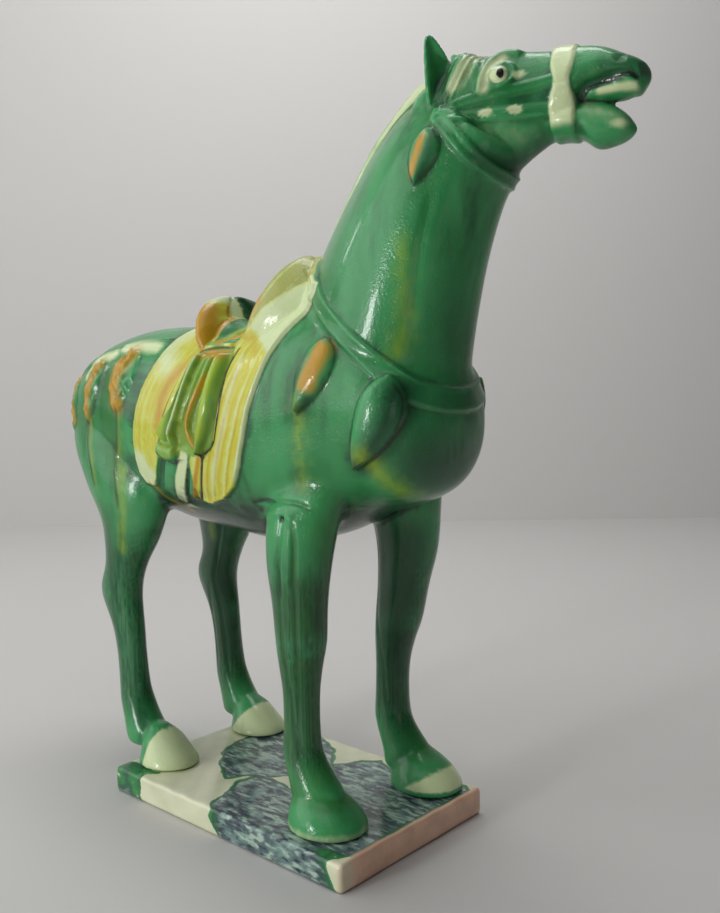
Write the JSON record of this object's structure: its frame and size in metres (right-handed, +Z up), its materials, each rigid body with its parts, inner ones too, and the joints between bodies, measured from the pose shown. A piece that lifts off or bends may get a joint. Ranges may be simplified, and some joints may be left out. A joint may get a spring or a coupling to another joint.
{
  "type": "horse figure",
  "caption": "Standing glazed ceramic horse with saddle and bridle, head raised and mouth open, on a flat rectangular plinth.",
  "frame": {"origin": "centre of the plinth's underside", "axes": "+X to the front, the way the horse faces; +Y to the horse's left; +Z up"},
  "size_m": [0.4405, 0.1327, 0.4502],
  "materials": {
    "glaze": "glossy lead glaze, green with amber and cream",
    "slip": "cream glaze over buff clay, bare in places"
  },
  "bodies": {
    "root": {"horse": "glaze", "plinth": "slip"}
  },
  "joints": []
}
